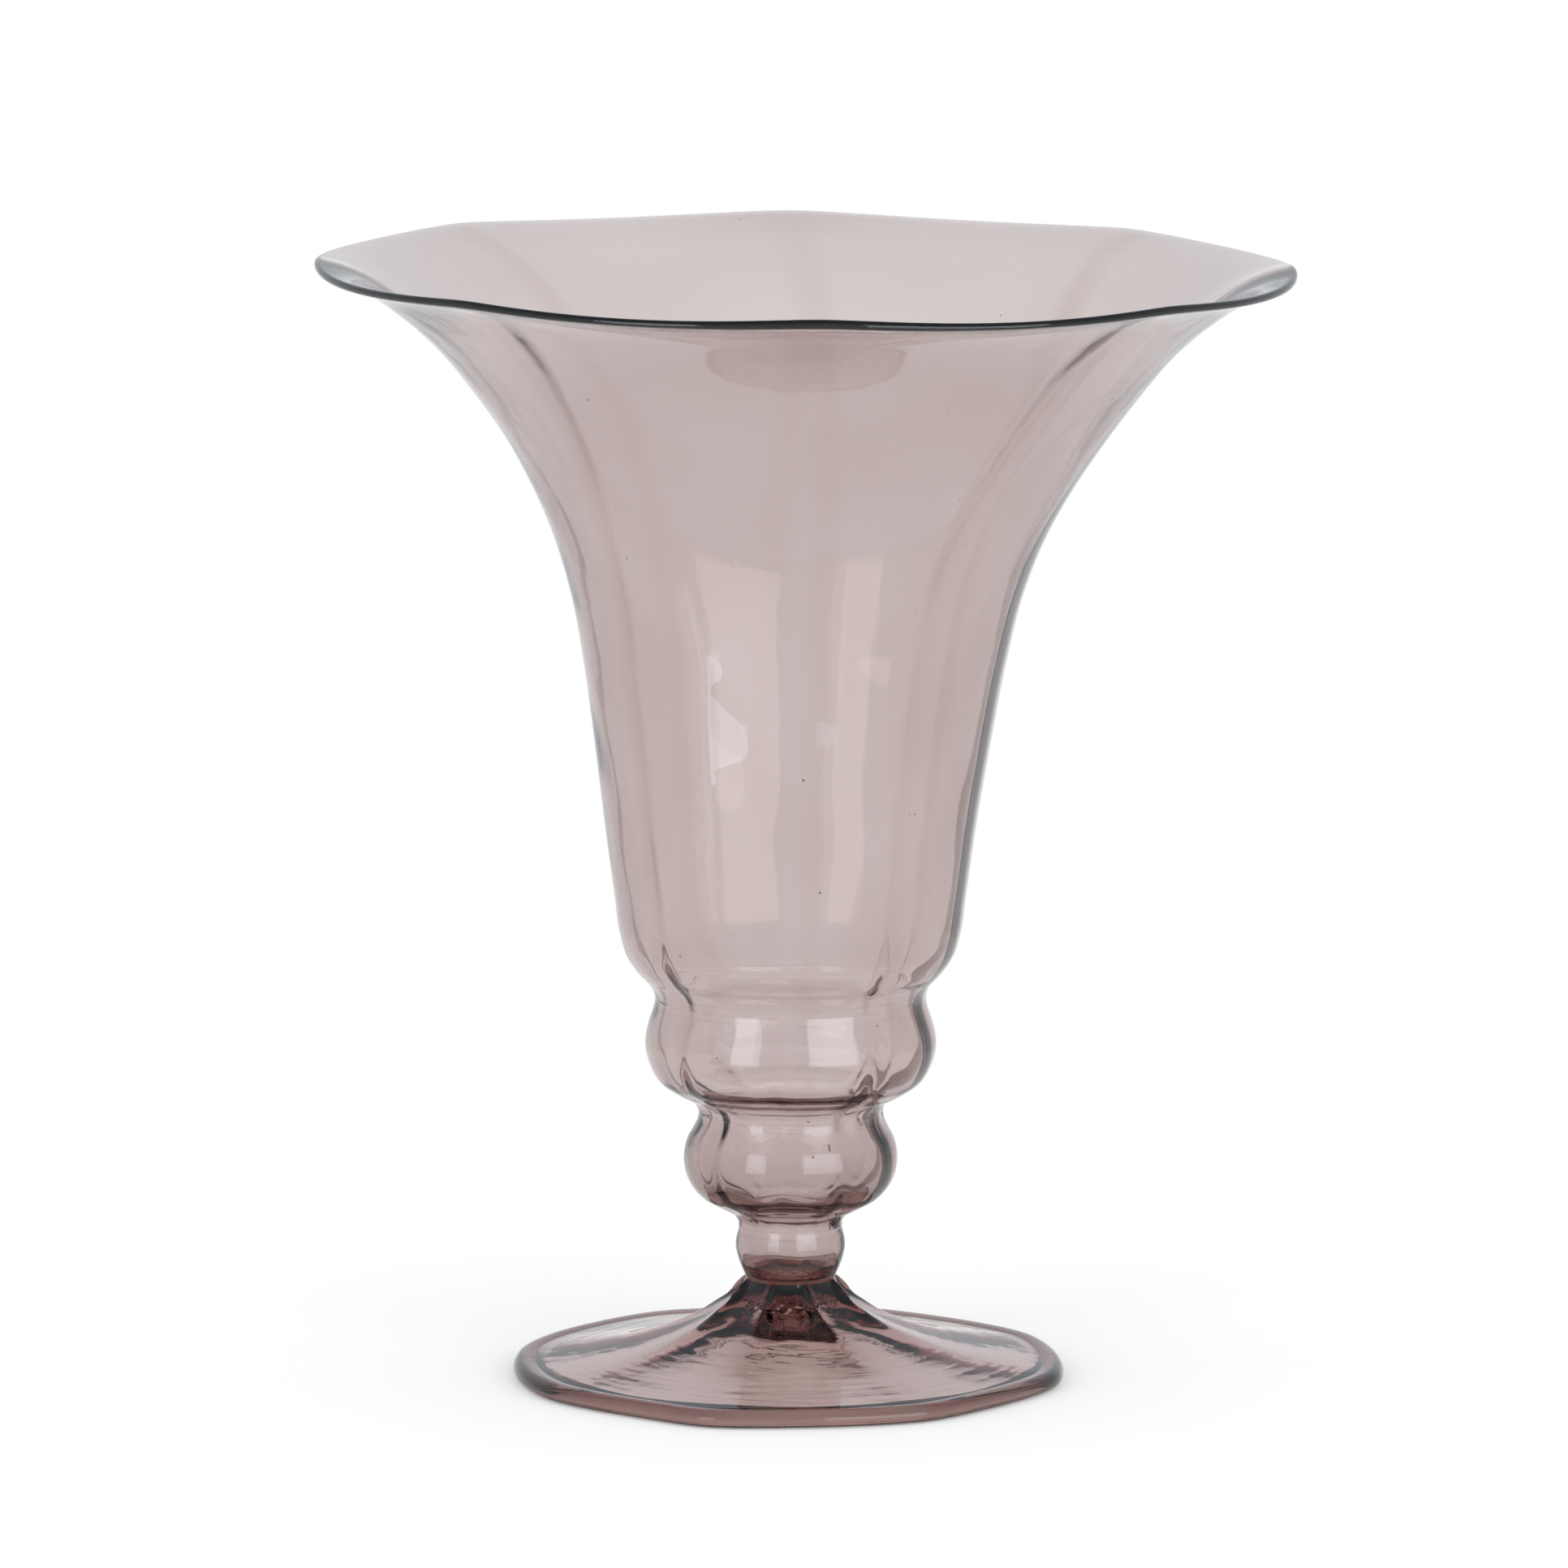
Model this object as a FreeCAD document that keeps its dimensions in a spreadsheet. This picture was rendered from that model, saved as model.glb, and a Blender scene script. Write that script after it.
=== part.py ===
import FreeCAD, Part

# Trumpet vase of blown glass: a folded foot, a hollow knop, two melon bulbs and a flared bowl.
# Z points up from the table. The origin lies on the table, under the middle of the mouth,
# because the bowl leans a little to one side of the foot.

import math
import os

import Sketcher

RIB_COUNT = 8
SECTOR = 360 / RIB_COUNT
HALF_SECTOR = SECTOR / 2

# Driving sizes in millimetres and degrees, piece by piece from the table upwards.
SIZES = [
    # Folded edge of the foot: its corners lie at the ribs, its sides half way between them.
    ("hem_corner_radius", 70.4),
    ("hem_side_radius", 68.5),
    ("hem_width", 5.4),
    ("hem_height", 4.4),
    ("hem_rounding", 1.6),
    # Foot: a shallow cone under a thick neck, hollow below. Its ridges turn back a little
    # on their way up from the corners to the neck.
    ("foot_height", 24.8),
    ("foot_lift", 1.6),
    ("foot_edge", 2.4),
    ("foot_ridge_share", 0.075),
    ("foot_rib_angle", 28.7),
    ("foot_rib_turn", 7.9),
    ("hollow_margin", 2.0),
    ("hollow_apex", 15.2),
    ("hollow_shoulder_radius", 16.0),
    ("hollow_shoulder_level", 12.8),
    ("hollow_sweep_radius", 150.0),
    # Hollow knop with a thick floor.
    ("knop_height", 13.2),
    ("knop_foot_radius", 11.3),
    ("knop_belly_radius", 13.75),
    ("knop_belly_height", 8.6),
    ("knop_neck_radius", 12.9),
    ("knop_floor", 4.0),
    # Two melon bulbs and the necks above them.
    ("lower_bulb_height", 28.9),
    ("lower_belly_radius", 26.7),
    ("bulb_neck_radius", 23.3),
    ("upper_bulb_height", 28.9),
    ("upper_belly_radius", 36.4),
    ("bowl_neck_radius", 33.9),
    # Bowl from its neck over the heel to the mouth.
    ("bowl_height", 183.8),
    ("heel_height", 15.8),
    ("heel_radius", 42.5),
    ("mouth_radius", 121.7),
    ("mouth_lean", 3.8),
    ("mouth_tilt", 0.66),
    ("rim_dip", 1.1),
    # Glass and ribs of everything that is blown.
    ("wall", 2.3),
    ("crease", 1.3),
    ("rib", 0.6),
    ("rib_angle", 37.5),
    ("rib_turn", 9.2),
    # Extra reach of a cutting shape past the glass that it cuts.
    ("overrun", 1.0),
]

doc = FreeCAD.newDocument("trumpet_vase")
sheet = doc.addObject("Spreadsheet::Sheet", "Sizes")
for row, (alias, size) in enumerate(SIZES, start=1):
    sheet.set(f"A{row}", alias)
    sheet.set(f"B{row}", str(size))
    sheet.setAlias(f"B{row}", alias)
doc.recompute()

# Levels of the seams between the pieces, added up from the table.
knop_seam = "Sizes.foot_height"
lower_seam = f"{knop_seam} + Sizes.knop_height"
upper_seam = f"{lower_seam} + Sizes.lower_bulb_height"
bowl_seam = f"{upper_seam} + Sizes.upper_bulb_height"
heel_level = f"{bowl_seam} + Sizes.heel_height"
mouth_level = f"{bowl_seam} + Sizes.bowl_height"

# The foot's edge and the inside of the hem share one outline.
bore_side = "Sizes.hem_side_radius - Sizes.hem_width"
bore_corner = "Sizes.hem_corner_radius - Sizes.hem_width"
slope_level = "Sizes.foot_lift + Sizes.foot_edge"

# Foot, from its edge to its neck: share of the slope's height and of its spread, of the
# ridge, which stands out from the foot by a share of the radius there, and of its turn.
foot_shares = [
    (0.040, 0.905, 0.45, 0.00),
    (0.100, 0.747, 0.60, 0.00),
    (0.197, 0.554, 0.75, 0.05),
    (0.365, 0.351, 0.90, 0.20),
    (0.510, 0.222, 1.00, 0.45),
    (0.654, 0.110, 1.00, 0.75),
    (0.779, 0.050, 0.90, 0.90),
    (0.885, 0.023, 0.60, 1.00),
    (1.000, 0.000, 0.00, 1.00),
]

# Bulbs, from below: share of the height, of the swell from a neck to the belly, of the crease
# and of the rib. The row whose swell is whole is the belly.
lower_bulb_shares = [
    (0.00, 0.00, 0.00, 0.00),
    (0.09, 0.07, 0.30, 0.40),
    (0.18, 0.38, 0.90, 1.00),
    (0.27, 0.68, 0.90, 1.00),
    (0.39, 0.89, 0.55, 1.00),
    (0.57, 1.00, 0.20, 1.00),
    (0.77, 0.75, 0.15, 1.00),
    (0.89, 0.24, 0.25, 1.00),
    (1.00, 0.00, 0.40, 0.80),
]
upper_bulb_shares = [
    (0.00, 0.00, 0.40, 0.80),
    (0.09, 0.10, 0.80, 1.00),
    (0.19, 0.46, 1.00, 1.00),
    (0.29, 0.76, 0.85, 1.00),
    (0.42, 0.92, 0.45, 1.00),
    (0.61, 1.00, 0.15, 1.00),
    (0.79, 0.62, 0.15, 1.00),
    (0.90, 0.20, 0.25, 1.00),
    (1.00, 0.00, 0.45, 0.80),
]

# Bowl, from its neck to the heel: shares of the height, swell, crease and rib.
heel_shares = [
    (0.00, 0.00, 0.45, 0.80),
    (0.21, 0.15, 0.65, 1.00),
    (0.43, 0.52, 0.65, 1.00),
    (0.68, 0.82, 0.40, 1.00),
    (1.00, 1.00, 0.20, 1.00),
]
# Bowl, from the heel to the mouth: shares of the height, flare, crease, rib, turn, lean and
# wall. The wall is measured level, so its share grows where the flare lies flatter.
flare_shares = [
    (0.167, 0.049, 0.15, 1.00, 0.00, 0.05, 1.00),
    (0.405, 0.124, 0.12, 1.00, 0.00, 0.26, 1.00),
    (0.595, 0.231, 0.12, 1.00, 0.10, 0.55, 1.03),
    (0.738, 0.394, 0.15, 1.00, 0.35, 0.95, 1.04),
    (0.845, 0.563, 0.20, 0.90, 0.60, 1.00, 1.08),
    (0.929, 0.749, 0.15, 0.80, 0.85, 1.00, 1.18),
    (1.000, 1.000, 0.00, 0.50, 1.00, 1.00, 1.45),
]


def value(expression):
    """Number that an expression gives with the present sizes."""
    found = sheet.evalExpression(expression)
    return float(getattr(found, "Value", found))


def between(low, high, share):
    """Expression for a share of the way from one size to another."""
    return f"({low}) + {share} * (({high}) - ({low}))"


def glass_body(name):
    """Body of one piece, moved so that the middle of the mouth is over the origin."""
    body = doc.addObject("PartDesign::Body", name)
    body.Label = name
    body.setExpression("Placement.Base.x", "-Sizes.mouth_lean")
    return body


def sketch_on(body, role, name):
    """Empty sketch on one of the body's own origin planes."""
    plane = [item for item in body.Origin.OriginFeatures if item.Role == role][0]
    sketch = body.newObject("Sketcher::SketchObject", name)
    sketch.AttachmentSupport = [(plane, "")]
    sketch.MapMode = "FlatFace"
    return sketch


def offset(x, y, z, turns):
    """Expression for an attachment offset: a place, and turns about (axis, angle) pairs."""
    parts = [f"create(<<rotation>>; create(<<vector>>; {axis}); {angle})" for axis, angle in turns]
    return f"create(<<placement>>; create(<<vector>>; {x}; {y}; {z}); {' * '.join(parts)})"


def fix(sketch, kind, name, expression, *places):
    """Dimension of a sketch, bound to the sheet."""
    size = value(expression)
    unit = ""
    if kind == "Angle":
        size = math.radians(size)
        unit = " * 1 deg"
    sketch.addConstraint(Sketcher.Constraint(kind, *places, size))
    sketch.renameConstraint(sketch.ConstraintCount - 1, name)
    sketch.setExpression(f"Constraints.{name}", f"({expression}){unit}")


def polar(radius, degrees):
    angle = math.radians(degrees)
    return FreeCAD.Vector(radius * math.cos(angle), radius * math.sin(angle), 0)


def arc_between(centre, start, end):
    """Arc about a centre, always drawn the way round that a sketch wants: anticlockwise."""
    a = start - centre
    b = end - centre
    circle = Part.Circle(centre, FreeCAD.Vector(0, 0, 1), a.Length)
    return Part.ArcOfCircle(circle, math.atan2(a.y, a.x), math.atan2(b.y, b.x))


def lobed_loop(sketch, name, side, corner, angle, spoke=None):
    """Closed loop of equal arcs that meet at the ribs, on a regular polygon.

    side is the radius half way between two ribs, corner the radius at a rib and angle the
    direction of the first rib. A second loop takes its direction from the first one's spoke.
    """
    squares = f"(({side}) ^ 2 - ({corner}) ^ 2)"
    reach = f"{squares} / (2 * (({side}) - ({corner}) * cos({HALF_SECTOR} deg)))"
    first = sketch.GeometryCount
    turn = value(angle)
    corners = [polar(value(corner), turn + SECTOR * i) for i in range(RIB_COUNT + 1)]
    middles = [polar(value(reach), turn + SECTOR * (i + 0.5)) for i in range(RIB_COUNT)]
    sides = [Part.LineSegment(corners[i], corners[i + 1]) for i in range(RIB_COUNT)]
    ring = Part.Circle(FreeCAD.Vector(0, 0, 0), FreeCAD.Vector(0, 0, 1), value(corner))
    sketch.addGeometry(sides + [ring], True)
    arcs = [arc_between(middles[i], corners[i], corners[i + 1]) for i in range(RIB_COUNT)]
    sketch.addGeometry(arcs, False)
    circle = first + RIB_COUNT
    arc = circle + 1
    rules = [Sketcher.Constraint("Coincident", circle, 3, -1, 1)]
    for i in range(RIB_COUNT):
        line = first + i
        rules.append(Sketcher.Constraint("Coincident", line, 2, first + (i + 1) % RIB_COUNT, 1))
        rules.append(Sketcher.Constraint("PointOnObject", line, 1, circle))
        rules.append(Sketcher.Constraint("Coincident", arc + i, 1, line, 1))
        rules.append(Sketcher.Constraint("Coincident", arc + i, 2, line, 2))
        if i:
            rules.append(Sketcher.Constraint("Equal", first, line))
            rules.append(Sketcher.Constraint("Equal", arc, arc + i))
    sketch.addConstraint(rules)
    fix(sketch, "Radius", f"{name}_corner", corner, circle)
    fix(sketch, "Radius", f"{name}_arc", f"({side}) - {reach}", arc)
    if spoke is not None:
        sketch.addConstraint(Sketcher.Constraint("PointOnObject", first, 1, spoke))
        return spoke
    spoke = sketch.addGeometry(Part.LineSegment(FreeCAD.Vector(0, 0, 0), corners[0]), True)
    sketch.addConstraint(Sketcher.Constraint("Coincident", spoke, 1, -1, 1))
    sketch.addConstraint(Sketcher.Constraint("Coincident", spoke, 2, first, 1))
    fix(sketch, "Angle", f"{name}_angle", angle, spoke)
    return spoke


def arc_centre(start, end, rule):
    """Centre of an arc whose centre is level with its start or end, on the axis, or above it."""
    if rule in ("level", "level next"):
        y = start.y if rule == "level" else end.y
        squares = end.x ** 2 - start.x ** 2 + (end.y - y) ** 2 - (start.y - y) ** 2
        return FreeCAD.Vector(squares / (2 * (end.x - start.x)), y, 0)
    if rule == "axis":
        squares = end.y ** 2 - start.y ** 2 + end.x ** 2 - start.x ** 2
        return FreeCAD.Vector(0, squares / (2 * (end.y - start.y)), 0)
    chord = end - start
    across = FreeCAD.Vector(-chord.y, chord.x, 0).normalize()
    if across.y < 0:
        across = -across
    return (start + end) / 2 + across * math.sqrt(value(rule) ** 2 - (chord.Length / 2) ** 2)


def profile(sketch, corners, bends):
    """Closed outline through corners (name, x, y), straight where bends names no arc.

    bends gives, for the corner that an arc leaves, the rule of arc_centre. A rule that is a
    size is the arc's radius.
    """
    count = len(corners)
    points = [FreeCAD.Vector(value(x), value(y), 0) for name, x, y in corners]
    ends = []
    for i, (name, x, y) in enumerate(corners):
        start = points[i]
        end = points[(i + 1) % count]
        rule = bends.get(name)
        if rule is None:
            sketch.addGeometry(Part.LineSegment(start, end), False)
            ends.append((1, 2))
            continue
        centre = arc_centre(start, end, rule)
        forward = (start - centre).cross(end - centre).z > 0
        arc = arc_between(centre, start, end) if forward else arc_between(centre, end, start)
        sketch.addGeometry(arc, False)
        ends.append((1, 2) if forward else (2, 1))
    for i, (name, x, y) in enumerate(corners):
        after = (i + 1) % count
        sketch.addConstraint(Sketcher.Constraint("Coincident", i, ends[i][1], after, ends[after][0]))
        fix(sketch, "DistanceX", f"{name}_x", x, -1, 1, i, ends[i][0])
        fix(sketch, "DistanceY", f"{name}_y", y, -1, 1, i, ends[i][0])
        rule = bends.get(name)
        if rule == "level":
            sketch.addConstraint(Sketcher.Constraint("Horizontal", i, 3, i, ends[i][0]))
        elif rule == "level next":
            sketch.addConstraint(Sketcher.Constraint("Horizontal", i, 3, i, ends[i][1]))
        elif rule == "axis":
            sketch.addConstraint(Sketcher.Constraint("PointOnObject", i, 3, -2))
        elif rule is not None:
            fix(sketch, "Radius", f"{name}_arc", rule, i)


def loft(body, name, sections):
    feature = body.newObject("PartDesign::AdditiveLoft", name)
    feature.Profile = sections[0]
    feature.Sections = sections[1:]
    feature.Ruled = False
    feature.Closed = False
    return feature


def middle_of(edge):
    return edge.valueAt((edge.FirstParameter + edge.LastParameter) / 2)


def build_hem():
    """Fold of glass round the foot, on which the vase stands."""
    body = glass_body("foot_hem")
    outline = sketch_on(body, "XY_Plane", "hem_outline")
    angle = "Sizes.foot_rib_angle"
    spoke = lobed_loop(outline, "outside", "Sizes.hem_side_radius", "Sizes.hem_corner_radius", angle)
    lobed_loop(outline, "inside", bore_side, bore_corner, angle, spoke)
    fold = body.newObject("PartDesign::Pad", "hem_fold")
    fold.Profile = outline
    fold.setExpression("Length", "Sizes.hem_height")
    doc.recompute()
    inner = value("Sizes.hem_side_radius - Sizes.hem_width / 2")
    outer = []
    for number, edge in enumerate(fold.Shape.Edges, start=1):
        middle = middle_of(edge)
        flat = edge.BoundBox.ZLength < value("Sizes.hem_height") / 2
        if flat and math.hypot(middle.x, middle.y) > inner:
            outer.append(f"Edge{number}")
    roll = body.newObject("PartDesign::Fillet", "hem_roll")
    roll.Base = (fold, outer)
    roll.setExpression("Radius", "Sizes.hem_rounding")
    return body


def foot_ring(body, name, level, side, corner, turn_share=0):
    sketch = sketch_on(body, "XY_Plane", name)
    angle = f"Sizes.foot_rib_angle - {turn_share} * Sizes.foot_rib_turn"
    lobed_loop(sketch, "outline", side, corner, angle)
    sketch.setExpression("AttachmentOffset.Base.z", level)
    return sketch


def build_foot():
    """Ridged cone with a thick neck, whose edge lies inside the hem."""
    body = glass_body("foot")
    plate = body.newObject("PartDesign::Pad", "foot_plate")
    plate.Profile = foot_ring(body, "foot_edge_outline", "Sizes.foot_lift", bore_side, bore_corner)
    plate.setExpression("Length", "Sizes.foot_edge")
    rings = [foot_ring(body, "foot_ring_0", slope_level, bore_side, bore_corner)]
    for i, (height_share, spread_share, ridge_share, turn_share) in enumerate(foot_shares, start=1):
        level = between(slope_level, knop_seam, height_share)
        side = between("Sizes.knop_foot_radius", bore_side, spread_share)
        corner = f"({side}) * (1 + {ridge_share} * Sizes.foot_ridge_share)"
        rings.append(foot_ring(body, f"foot_ring_{i}", level, side, corner, turn_share))
    loft(body, "foot_slope", rings)
    outline = sketch_on(body, "XZ_Plane", "foot_hollow_outline")
    low = "Sizes.foot_lift - Sizes.overrun"
    rim = f"{bore_side} - Sizes.hollow_margin"
    corners = [
        ("base", "0", low),
        ("rim", rim, low),
        ("lip", rim, "Sizes.foot_lift"),
        ("shoulder", "Sizes.hollow_shoulder_radius", "Sizes.hollow_shoulder_level"),
        ("apex", "0", "Sizes.hollow_apex"),
    ]
    profile(outline, corners, {"lip": "Sizes.hollow_sweep_radius", "shoulder": "axis"})
    hollow = body.newObject("PartDesign::Groove", "foot_hollow")
    hollow.Profile = outline
    hollow.ReferenceAxis = (outline, ["V_Axis"])
    return body


def build_knop():
    """Small hollow bead of glass, closed below by a thick floor."""
    body = glass_body("stem_knop")
    outline = sketch_on(body, "XZ_Plane", "knop_outline")
    belly = f"{knop_seam} + Sizes.knop_belly_height"
    floor = f"{knop_seam} + Sizes.knop_floor"
    bore_belly = "Sizes.knop_belly_radius - Sizes.wall"
    corners = [
        ("foot_centre", "0", knop_seam),
        ("foot", "Sizes.knop_foot_radius", knop_seam),
        ("belly", "Sizes.knop_belly_radius", belly),
        ("neck", "Sizes.knop_neck_radius", lower_seam),
        ("bore_neck", "Sizes.knop_neck_radius - Sizes.wall", lower_seam),
        ("bore_belly", bore_belly, belly),
        ("floor", f"{bore_belly} - (Sizes.knop_belly_height - Sizes.knop_floor)", floor),
        ("floor_centre", "0", floor),
    ]
    bends = {"foot": "level next", "belly": "level", "bore_neck": "level next", "bore_belly": "level"}
    profile(outline, corners, bends)
    bead = body.newObject("PartDesign::Revolution", "knop_bead")
    bead.Profile = outline
    bead.ReferenceAxis = (outline, ["V_Axis"])
    return body


def wall_section(body, name, level, side, shares):
    """Ring of glass at one level, creased outside and ribbed inside.

    shares are those of the crease, the rib, the turn of the ribs, the lean and the wall.
    """
    crease_share, rib_share, turn_share, lean_share, wall_share = shares
    sketch = sketch_on(body, "XY_Plane", name)
    angle = f"Sizes.rib_angle + {turn_share} * Sizes.rib_turn"
    corner = f"{side} - {crease_share} * Sizes.crease"
    inner_side = f"{side} - {wall_share} * Sizes.wall"
    inner_corner = f"{corner} - {wall_share} * Sizes.wall - {rib_share} * Sizes.rib"
    spoke = lobed_loop(sketch, "outside", side, corner, angle)
    lobed_loop(sketch, "inside", inner_side, inner_corner, angle, spoke)
    tilt = f"{lean_share} * Sizes.mouth_tilt"
    place = offset(f"{lean_share} * Sizes.mouth_lean", 0, level, [("0; 1; 0", tilt)])
    sketch.setExpression("AttachmentOffset", place)
    return sketch


def build_bulb(name, bottom, height, lower_neck, belly, upper_neck, bulb_shares):
    """Hollow melon bulb, open to its neighbours at both necks."""
    body = glass_body(name)
    sections = []
    neck = lower_neck
    for i, (height_share, swell_share, crease_share, rib_share) in enumerate(bulb_shares):
        level = f"{bottom} + {height_share} * {height}"
        side = between(neck, belly, swell_share)
        if swell_share == 1:
            neck = upper_neck
        shares = (crease_share, rib_share, 0, 0, 1)
        sections.append(wall_section(body, f"{name}_section_{i}", level, side, shares))
    loft(body, f"{name}_glass", sections)
    return body


def build_bowl():
    """Flared bowl, whose mouth rises at each rib and dips between two ribs."""
    body = glass_body("trumpet_bowl")
    sections = []
    for height_share, swell_share, crease_share, rib_share in heel_shares:
        level = f"{bowl_seam} + {height_share} * Sizes.heel_height"
        side = between("Sizes.bowl_neck_radius", "Sizes.heel_radius", swell_share)
        shares = (crease_share, rib_share, 0, 0, 1)
        sections.append(wall_section(body, f"bowl_section_{len(sections)}", level, side, shares))
    for height_share, flare_share, *shares in flare_shares:
        level = between(heel_level, mouth_level, height_share)
        side = between("Sizes.heel_radius", "Sizes.mouth_radius", flare_share)
        sections.append(wall_section(body, f"bowl_section_{len(sections)}", level, side, shares))
    loft(body, "bowl_glass", sections)
    doc.recompute()
    dip = sketch_on(body, "XZ_Plane", "mouth_dip_outline")
    half_chord = f"Sizes.mouth_radius * sin({HALF_SECTOR} deg)"
    arc_radius = f"(({half_chord}) ^ 2 + Sizes.rim_dip ^ 2) / (2 * Sizes.rim_dip)"
    centre_height = f"{arc_radius} - Sizes.rim_dip"
    half_top = f"sqrt(({arc_radius}) ^ 2 - ({centre_height} - Sizes.overrun) ^ 2)"
    corners = [
        ("left", f"-{half_top}", "Sizes.overrun"),
        ("right", half_top, "Sizes.overrun"),
    ]
    profile(dip, corners, {"left": arc_radius})
    middle = f"Sizes.rib_angle + Sizes.rib_turn + {HALF_SECTOR}"
    turns = [("0; 0; -1", "Sizes.mouth_tilt"), ("0; 1; 0", middle)]
    dip.setExpression("AttachmentOffset", offset("Sizes.mouth_lean", mouth_level, 0, turns))
    cut = body.newObject("PartDesign::Pocket", "mouth_dip")
    cut.Profile = dip
    cut.Type = "Length"
    cut.Reversed = True
    cut.setExpression("Length", "Sizes.mouth_radius + Sizes.overrun")
    dips = body.newObject("PartDesign::PolarPattern", "mouth_dips")
    dips.Originals = [cut]
    dips.Axis = (sections[-1], ["N_Axis"])
    dips.Angle = 360
    dips.Occurrences = RIB_COUNT
    body.Tip = dips
    return body


def check(bodies):
    """Stops before anything is written if an object failed or a piece isn't one valid solid."""
    for item in doc.Objects:
        if "Invalid" in item.State or "Error" in item.State:
            raise RuntimeError(f"{item.Name} failed: {item.State}")
    for body in bodies:
        shape = body.Shape
        if shape.isNull() or not shape.isValid() or len(shape.Solids) != 1:
            raise RuntimeError(f"{body.Label} is not one valid solid")
        box = shape.BoundBox
        print(f"{body.Label}: {shape.Volume / 1000:.2f} cm3, z {box.ZMin:.2f} to {box.ZMax:.2f}")


bodies = [
    build_hem(),
    build_foot(),
    build_knop(),
    build_bulb("lower_bulb", lower_seam, "Sizes.lower_bulb_height", "Sizes.knop_neck_radius",
               "Sizes.lower_belly_radius", "Sizes.bulb_neck_radius", lower_bulb_shares),
    build_bulb("upper_bulb", upper_seam, "Sizes.upper_bulb_height", "Sizes.bulb_neck_radius",
               "Sizes.upper_belly_radius", "Sizes.bowl_neck_radius", upper_bulb_shares),
    build_bowl(),
]
doc.recompute()
check(bodies)
os.makedirs("parts", exist_ok=True)
for body in bodies:
    body.Shape.exportStep(f"parts/{body.Label}.step")
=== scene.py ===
import math

import bpy
import numpy as np
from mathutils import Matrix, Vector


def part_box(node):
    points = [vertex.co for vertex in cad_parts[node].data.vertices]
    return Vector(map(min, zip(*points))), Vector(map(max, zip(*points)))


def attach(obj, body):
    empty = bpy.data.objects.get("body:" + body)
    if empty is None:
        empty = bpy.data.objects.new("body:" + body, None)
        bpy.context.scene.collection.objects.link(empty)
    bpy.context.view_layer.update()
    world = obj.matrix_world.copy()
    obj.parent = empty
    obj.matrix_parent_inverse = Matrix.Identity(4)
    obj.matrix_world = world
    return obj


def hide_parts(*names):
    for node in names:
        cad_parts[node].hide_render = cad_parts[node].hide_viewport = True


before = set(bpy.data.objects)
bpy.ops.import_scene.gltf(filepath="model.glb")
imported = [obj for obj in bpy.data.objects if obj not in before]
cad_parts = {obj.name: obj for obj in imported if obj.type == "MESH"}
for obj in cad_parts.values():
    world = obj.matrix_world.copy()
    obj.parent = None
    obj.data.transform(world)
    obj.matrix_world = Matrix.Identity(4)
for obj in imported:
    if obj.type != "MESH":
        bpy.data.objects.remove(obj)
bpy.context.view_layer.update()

# Foot hem: the foot's edge, turned over while hot and pressed flat on the marver, so that
# the vase stands on a rounded ring of doubled glass. A hand did it, so no two of its eight
# corners reach equally far.
MM = 0.001
RIBS = 8
RIB_STEP = 360 / RIBS
STEM_X = (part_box("stem_knop")[0][0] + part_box("stem_knop")[1][0]) / 2 / MM
# Two fused pieces lie this far in each other, so that no air shows in the seam.
FUSED = 0.02
GROUND_RIB_ANGLE = 28.7
HEM_WIDTH = 5.4
# The foot's plate meets the hem above this height.
HEM_SEAT = 2.4
# Radius at each corner and half way to the next, from the first rib round.
hem_corners = [69.3, 70.0, 71.6, 70.0, 69.7, 71.6, 70.2, 69.3]
hem_sides = [68.0, 69.0, 69.7, 69.2, 68.3, 69.3, 67.7, 68.0]
SODA_GLASS_IOR = 1.52
# A speck of grit lies in the glass about every 13 mm, and is half a millimetre wide at most.
GRIT_MM = 13
GRIT_SIZE = 0.024
# The jacks leave fine rings this far apart, up to so far above and below a neck, and this
# much deeper than the waves.
JACK_RING_MM = 1.1
JACK_REACH_MM = 2.2
JACK_DEPTH = 1.2


def linear(hex_colour):
    """Linear RGBA of an sRGB hex colour."""
    channels = [int(hex_colour[i:i + 2], 16) / 255 for i in (0, 2, 4)]
    return [c / 12.92 if c <= 0.04045 else ((c + 0.055) / 1.055) ** 2.4 for c in channels] + [1]


def add(tree, kind, settings=None, **inputs):
    """Adds a node with its settings, and fills or links its sockets by name or number."""
    node = tree.nodes.new(kind)
    for name, value in (settings or {}).items():
        setattr(node, name, value)
    for name, value in inputs.items():
        socket = node.inputs[int(name[1:])] if name[1:].isdigit() else node.inputs[name.replace("_", " ")]
        if isinstance(value, bpy.types.NodeSocket):
            tree.links.new(value, socket)
        else:
            socket.default_value = value
    return node


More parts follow.
